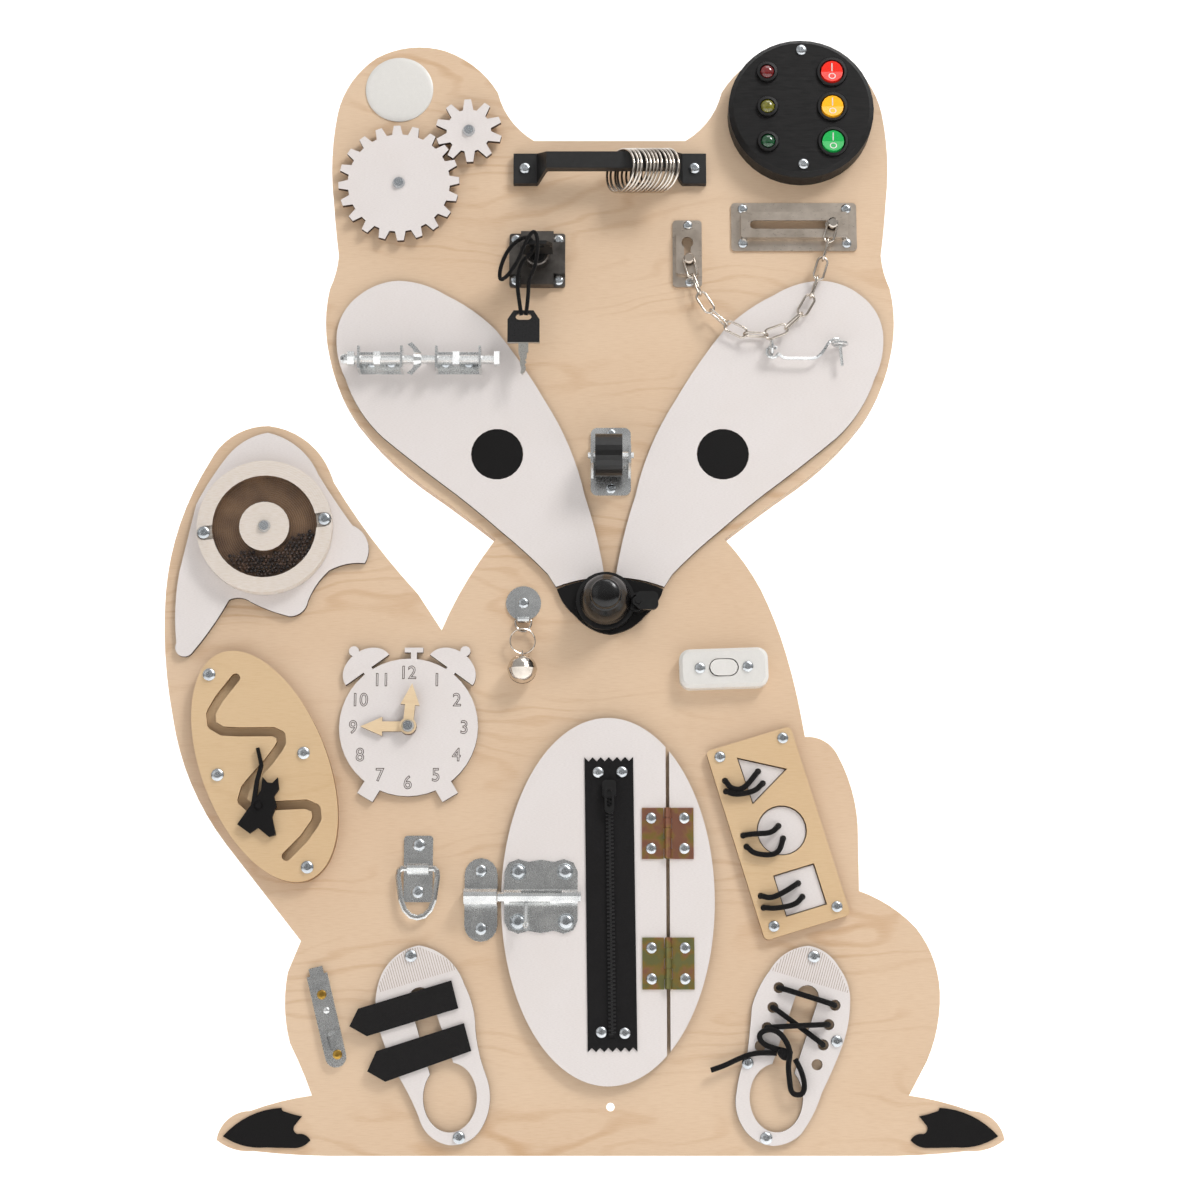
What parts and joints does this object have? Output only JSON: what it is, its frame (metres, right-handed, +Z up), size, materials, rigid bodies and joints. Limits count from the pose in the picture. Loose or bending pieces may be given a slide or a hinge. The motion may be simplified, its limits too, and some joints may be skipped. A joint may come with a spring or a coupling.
{
  "type": "busy board",
  "caption": "Wall-hung wooden activity board shaped like a sitting animal, with gears, latches, locks, switches, a hinged door, a maze and laces to play with.",
  "frame": {"origin": "centre of the lower wall screw's hole, on the back face of the board", "axes": "+Z up to the ears, -Y out of the wall towards the person in front, +X to that person's right"},
  "size_m": [0.6092, 0.065, 0.8378],
  "materials": {
    "birch_plywood": "clear varnish",
    "white_paint": "white painted face, scorched cut edge",
    "black_plate": "satin",
    "black_plastic": "satin",
    "black_paint": "black painted",
    "yellow_zinc": "yellow passivated",
    "white_plastic": "satin",
    "red_plastic": "gloss",
    "yellow_plastic": "gloss",
    "green_plastic": "gloss",
    "zinc_steel": "zinc plated",
    "nickel_steel": "polished",
    "brass": "satin",
    "dark_rubber": "matte",
    "black_cord": "braided",
    "zip_cloth": "woven",
    "clear_acrylic": "clear",
    "seed_beads": "dark seeds"
  },
  "bodies": {
    "base": {"bell_base": "black_plastic", "bell_gong": "black_plastic", "belly_fixed": "white_paint", "black_patches": "black_plate", "board": "birch_plywood", "castor_fork": "zinc_steel", "chain_plates": "nickel_steel", "clock_face": "white_paint", "door_chain": "nickel_steel", "drum_beads": "seed_beads", "hinge_fixed_leaves": "yellow_zinc", "keeper_and_case": "zinc_steel", "key_cord": "black_cord", "lamps_and_bezels": "black_plastic", "light_box": "black_paint", "lock_case": "nickel_steel", "maze_plate": "birch_plywood", "pivot_screws": "zinc_steel", "ring_handle": "black_plastic", "ring_mounts": "zinc_steel", "shape_frame": "birch_plywood", "shoe_laces": "black_cord", "shoe_plates": "white_paint", "switch_body": "white_plastic", "tie_cords": "black_cord", "white_plates": "white_paint"},
    "big_gear": {"gear_large": "white_paint"},
    "small_gear": {"gear_small": "white_paint"},
    "ring_set": {"rings": "nickel_steel"},
    "red_rocker": {"rocker_red": "red_plastic"},
    "yellow_rocker": {"rocker_yellow": "yellow_plastic"},
    "green_rocker": {"rocker_green": "green_plastic"},
    "turning_key": {"lock_key": "black_plastic"},
    "hanging_key": {"spare_key": "black_plastic"},
    "track_button": {"chain_slider": "nickel_steel"},
    "hook": {"gate_hook": "zinc_steel"},
    "rod": {"threaded_bolt": "zinc_steel"},
    "winged_nut": {"wing_nut": "zinc_steel"},
    "wheel": {"castor_wheel": "black_plastic"},
    "lever": {"bell_lever": "black_plastic"},
    "jingle": {"jingle_bell": "nickel_steel"},
    "lamp_switch": {"switch_rocker": "white_plastic"},
    "drum": {"drum_body": "white_paint", "drum_window": "clear_acrylic"},
    "cat": {"cat_slider": "black_plate"},
    "hour_hand": {"clock_hour": "birch_plywood"},
    "minute_hand": {"clock_minute": "birch_plywood"},
    "ring": {"lashing_ring": "zinc_steel"},
    "door": {"door_leaf": "white_paint", "hinge_door_leaves": "yellow_zinc", "zipper_tape": "zip_cloth", "door_bolt_case": "zinc_steel"},
    "zip_slider": {"zipper_slider": "nickel_steel"},
    "bolt_rod": {"door_bolt_rod": "zinc_steel"},
    "triangle": {"shape_triangle": "white_paint"},
    "circle": {"shape_circle": "white_paint"},
    "square": {"shape_square": "white_paint"},
    "latch": {"latch_bolt": "zinc_steel"},
    "strap_upper": {"upper_strap": "black_plate"},
    "strap_lower": {"lower_strap": "black_plate"}
  },
  "joints": [
    {"name": "big_gear_spin", "type": "hinge", "parent": "base", "child": "big_gear", "pos_m": [-0.1607, -0.02, 0.6908], "axis": [0, -1, 0], "continuous": true},
    {"name": "small_gear_spin", "type": "hinge", "parent": "base", "child": "small_gear", "pos_m": [-0.1078, -0.02, 0.73288], "axis": [0, -1, 0], "continuous": true},
    {"name": "rings_slide", "type": "slide", "parent": "base", "child": "ring_set", "axis": [-1, 0, 0], "range_m": [0, 0.045]},
    {"name": "red_rocker_tilt", "type": "hinge", "parent": "base", "child": "red_rocker", "pos_m": [0.1694, -0.0336, 0.7748], "axis": [1, 0, 0], "range_deg": [-6, 6]},
    {"name": "yellow_rocker_tilt", "type": "hinge", "parent": "base", "child": "yellow_rocker", "pos_m": [0.1694, -0.0336, 0.7468], "axis": [1, 0, 0], "range_deg": [-6, 6]},
    {"name": "green_rocker_tilt", "type": "hinge", "parent": "base", "child": "green_rocker", "pos_m": [0.1694, -0.0336, 0.7188], "axis": [1, 0, 0], "range_deg": [-6, 6]},
    {"name": "key_turn", "type": "hinge", "parent": "base", "child": "turning_key", "pos_m": [-0.055, -0.02, 0.6305], "axis": [0, -1, 0], "range_deg": [0, 90]},
    {"name": "key_swing", "type": "hinge", "parent": "base", "child": "hanging_key", "pos_m": [-0.0646, -0.037, 0.5805], "axis": [0, -1, 0], "range_deg": [-20, 20], "deforming": ["key_cord"]},
    {"name": "chain_slide", "type": "slide", "parent": "base", "child": "track_button", "axis": [-1, 0, 0], "range_m": [0, 0.057], "deforming": ["door_chain"]},
    {"name": "hook_lift", "type": "hinge", "parent": "base", "child": "hook", "pos_m": [0.1215, -0.026, 0.554], "axis": [0, -1, 0], "range_deg": [0, 30]},
    {"name": "rod_turn", "type": "hinge", "parent": "base", "child": "rod", "pos_m": [-0.141, -0.032, 0.5486], "axis": [1, 0, 0], "range_deg": [-1000, 2800]},
    {"name": "wing_nut_travel", "type": "slide", "parent": "base", "child": "winged_nut", "axis": [1, 0, 0], "range_m": [-0.0029, 0.0079]},
    {"name": "wheel_spin", "type": "hinge", "parent": "base", "child": "wheel", "pos_m": [0, -0.036, 0.4733], "axis": [1, 0, 0], "continuous": true},
    {"name": "bell_ring", "type": "hinge", "parent": "base", "child": "lever", "pos_m": [0.0206, -0.024, 0.3645], "axis": [0, -1, 0], "range_deg": [-14, 0], "stiffness_Nm_per_rad": 0.05},
    {"name": "jingle_swing", "type": "hinge", "parent": "base", "child": "jingle", "pos_m": [-0.064, -0.0184, 0.35265], "axis": [-1, 0, 0], "range_deg": [0, 40]},
    {"name": "lamp_switch_tilt", "type": "hinge", "parent": "base", "child": "lamp_switch", "pos_m": [0.0832, -0.0255, 0.3156], "axis": [0, -1, 0], "range_deg": [-1, 1]},
    {"name": "drum_spin", "type": "hinge", "parent": "base", "child": "drum", "pos_m": [-0.2555, -0.024, 0.421], "axis": [0, -1, 0], "continuous": true},
    {"name": "cat_slide", "type": "slide", "parent": "base", "child": "cat", "axis": [0.9989, 0, 0.0471], "range_m": [-0.005, 0.033]},
    {"name": "hour_spin", "type": "hinge", "parent": "base", "child": "hour_hand", "pos_m": [-0.1475, -0.02, 0.2727], "axis": [0, -1, 0], "continuous": true},
    {"name": "minute_spin", "type": "hinge", "parent": "base", "child": "minute_hand", "pos_m": [-0.1475, -0.024, 0.2727], "axis": [0, -1, 0], "continuous": true},
    {"name": "ring_lift", "type": "hinge", "parent": "base", "child": "ring", "pos_m": [-0.1391, -0.0206, 0.1693], "axis": [-1, 0, 0], "range_deg": [0, 150]},
    {"name": "door_open", "type": "hinge", "parent": "base", "child": "door", "pos_m": [0.0416, -0.0237, 0.1467], "axis": [0, 0, 1], "range_deg": [0, 105]},
    {"name": "zip_open", "type": "slide", "parent": "door", "child": "zip_slider", "axis": [0.0122, 0, -0.9999], "range_m": [0, 0.15]},
    {"name": "bolt_slide", "type": "slide", "parent": "door", "child": "bolt_rod", "axis": [1, 0, 0], "range_m": [-0.01, 0.015]},
    {"name": "triangle_pull", "type": "slide", "parent": "base", "child": "triangle", "axis": [0, -1, 0], "range_m": [0, 0.012], "deforming": ["tie_cords"]},
    {"name": "circle_pull", "type": "slide", "parent": "base", "child": "circle", "axis": [0, -1, 0], "range_m": [0, 0.012], "deforming": ["tie_cords"]},
    {"name": "square_pull", "type": "slide", "parent": "base", "child": "square", "axis": [0, -1, 0], "range_m": [0, 0.012], "deforming": ["tie_cords"]},
    {"name": "latch_slide", "type": "slide", "parent": "base", "child": "latch", "axis": [0.2453, 0, -0.9694], "range_m": [0, 0.008]},
    {"name": "upper_strap_lift", "type": "hinge", "parent": "base", "child": "strap_upper", "pos_m": [-0.1115, -0.0193, 0.0792], "axis": [-0.2552, 0, 0.9669], "range_deg": [0, 70]},
    {"name": "lower_strap_lift", "type": "hinge", "parent": "base", "child": "strap_lower", "pos_m": [-0.102, -0.0193, 0.049], "axis": [-0.2656, 0, 0.9641], "range_deg": [0, 70]}
  ],
  "couplings": [
    {"joint": "small_gear_spin", "follows": "big_gear_spin", "ratio": -2},
    {"joint": "wing_nut_travel", "follows": "rod_turn", "m_per_rad": 0.00015915}
  ]
}
